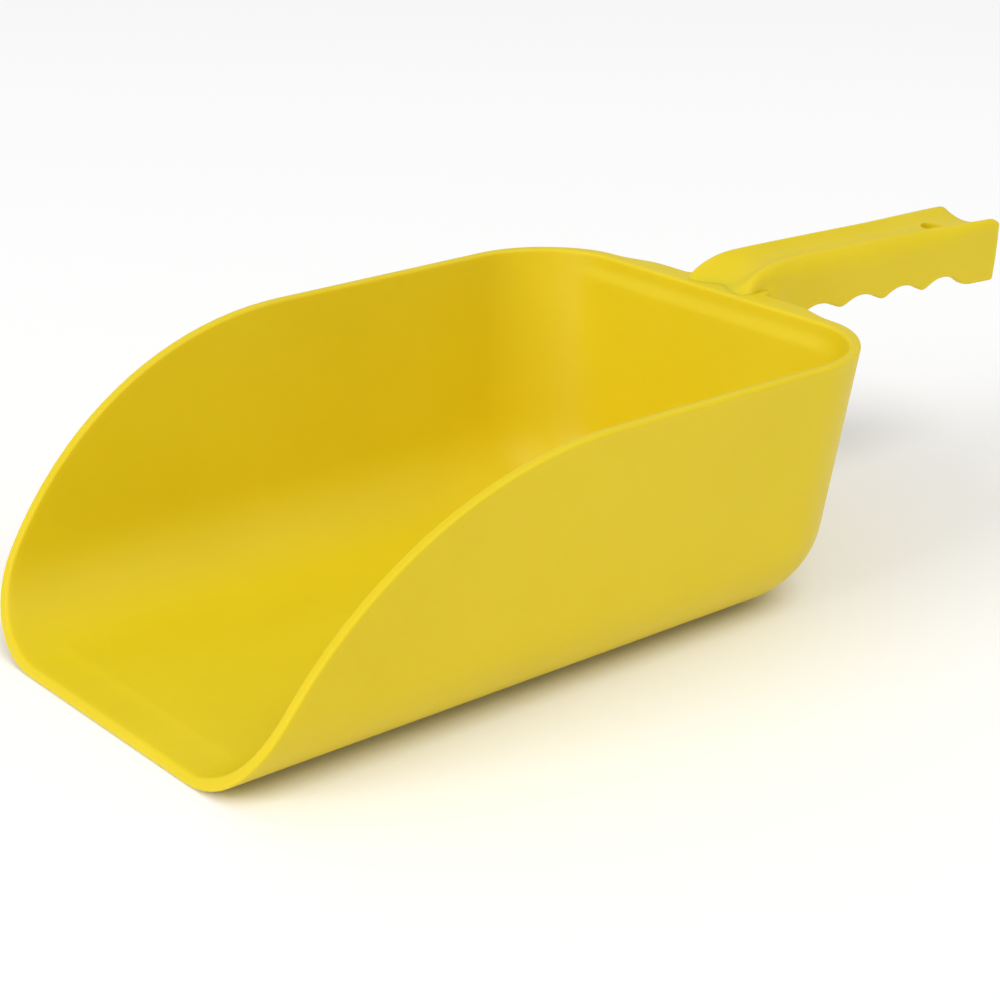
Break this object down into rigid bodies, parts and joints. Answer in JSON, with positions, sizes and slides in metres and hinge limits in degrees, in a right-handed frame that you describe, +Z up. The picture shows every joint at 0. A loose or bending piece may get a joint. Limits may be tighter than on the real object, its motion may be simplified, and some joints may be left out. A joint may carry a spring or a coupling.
{
  "type": "grain hand scoop",
  "caption": "Open-fronted hand scoop for grain and feed, with a deep round-cornered bowl, a thin leading lip and a grooved channel handle with a hang hole.",
  "frame": {"origin": "under the middle of the overall length, on the plane of the flat floor's underside", "axes": "+Y from the lip towards the handle, +Z up out of the bowl, +X to the right seen from the lip"},
  "size_m": [0.16, 0.351, 0.0888],
  "materials": {
    "yellow_moulding": "satin moulded polypropylene"
  },
  "bodies": {
    "root": {"front_lip": "yellow_moulding", "bowl_floor": "yellow_moulding", "left_side_wall": "yellow_moulding", "right_side_wall": "yellow_moulding", "left_rear_corner": "yellow_moulding", "right_rear_corner": "yellow_moulding", "rear_wall": "yellow_moulding", "rear_rim": "yellow_moulding", "handle_root": "yellow_moulding", "handle_top": "yellow_moulding", "handle_left_wall": "yellow_moulding", "handle_right_wall": "yellow_moulding", "handle_end_wall": "yellow_moulding"}
  },
  "joints": []
}
